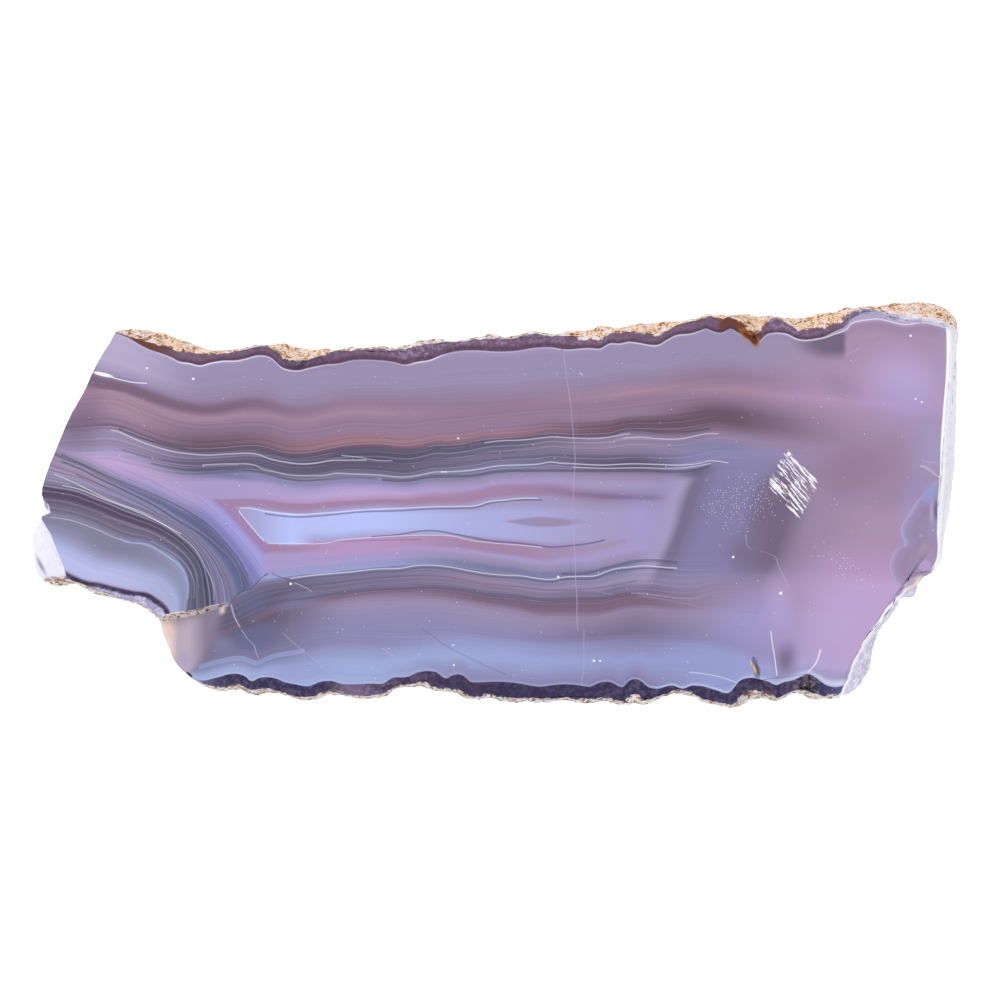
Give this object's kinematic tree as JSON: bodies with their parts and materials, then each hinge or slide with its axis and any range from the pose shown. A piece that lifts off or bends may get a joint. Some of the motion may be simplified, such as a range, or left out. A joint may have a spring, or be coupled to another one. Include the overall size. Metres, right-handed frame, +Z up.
{
  "type": "agate slab",
  "caption": "Flat sawn slice of purple banded agate with a rough rind edge, a flake scar and broken ends, lying on its flat back.",
  "frame": {"origin": "centre of the slab's box in plan, on the surface it rests on", "axes": "+X along the slab's longest side, +Y across it, +Z up out of the cut face"},
  "size_m": [0.1494, 0.0654, 0.0055],
  "materials": {
    "agate": "smooth sawn and rubbed chalcedony with a soft gloss; banded lavender, mauve and slate; matte tan and gold rind"
  },
  "bodies": {
    "root": {"agate_slab": "agate"}
  },
  "joints": []
}
